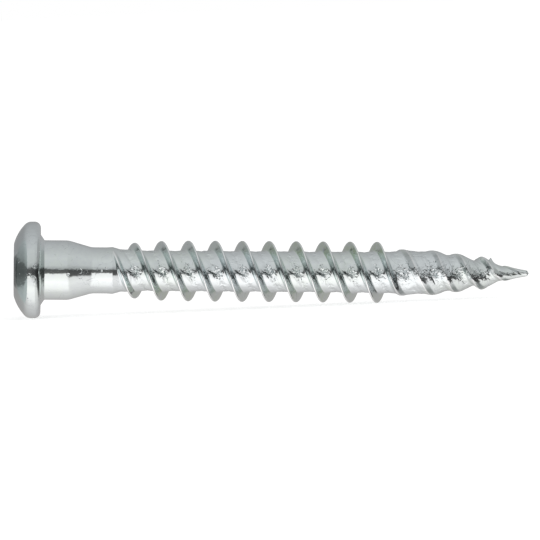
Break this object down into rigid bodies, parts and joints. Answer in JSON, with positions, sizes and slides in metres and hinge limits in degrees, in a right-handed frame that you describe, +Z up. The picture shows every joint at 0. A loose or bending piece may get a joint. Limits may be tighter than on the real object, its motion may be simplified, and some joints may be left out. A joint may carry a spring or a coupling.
{
  "type": "connector screw",
  "caption": "Low domed-head steel screw with a plain collar and neck under the head, a coarse wood thread and a sharp point, lying on its side.",
  "frame": {"origin": "on the screw's axis, at the bearing face under the head", "axes": "the screw lies on its side, on the rim of its head and its last full crest; +X runs along it towards the point, with the screw's own axis sloping 2.97 degrees down towards +X; +Z is up"},
  "size_m": [0.0422, 0.008, 0.0079],
  "materials": {
    "zinc_plated_steel": "bright zinc plating, smooth, with fine ripples and small dents from heading and thread rolling"
  },
  "bodies": {
    "root": {"screw": "zinc_plated_steel"}
  },
  "joints": []
}
